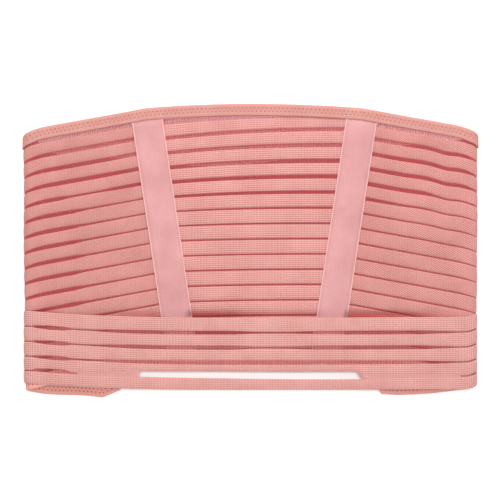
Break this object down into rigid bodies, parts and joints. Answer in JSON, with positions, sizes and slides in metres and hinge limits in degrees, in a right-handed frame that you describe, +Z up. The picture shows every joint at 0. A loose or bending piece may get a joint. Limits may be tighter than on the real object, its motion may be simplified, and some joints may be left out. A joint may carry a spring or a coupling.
{
  "type": "maternity belt",
  "caption": "Ribbed elastic back and belly support loop with open mesh gaps, two stay tapes, bound edges and an outer lower strap, lying flat.",
  "frame": {"origin": "middle of the footprint, on the surface that the belt lies on", "axes": "+X across the back to the viewer's right, +Y towards the belt's top edge, +Z up from the surface, out of the back panel"},
  "size_m": [0.3938, 0.2538, 0.0201],
  "materials": {
    "ribbed_elastic": "coral pink knitted elastic ribs, matt, with open ladder mesh between them",
    "edge_binding": "coral pink folded elastic binding with a zigzag stitch",
    "stay_tape": "pink twill casing with a soft sheen and stitched edges",
    "closure_cloth": "coral pink brushed closure cloth"
  },
  "bodies": {
    "root": {"back_panel": "ribbed_elastic", "left_side_panel": "ribbed_elastic", "right_side_panel": "ribbed_elastic", "top_hem": "edge_binding", "bottom_hem": "edge_binding", "left_stay_tape": "stay_tape", "right_stay_tape": "stay_tape", "lower_strap": "ribbed_elastic", "closure_strip": "closure_cloth"}
  },
  "joints": []
}
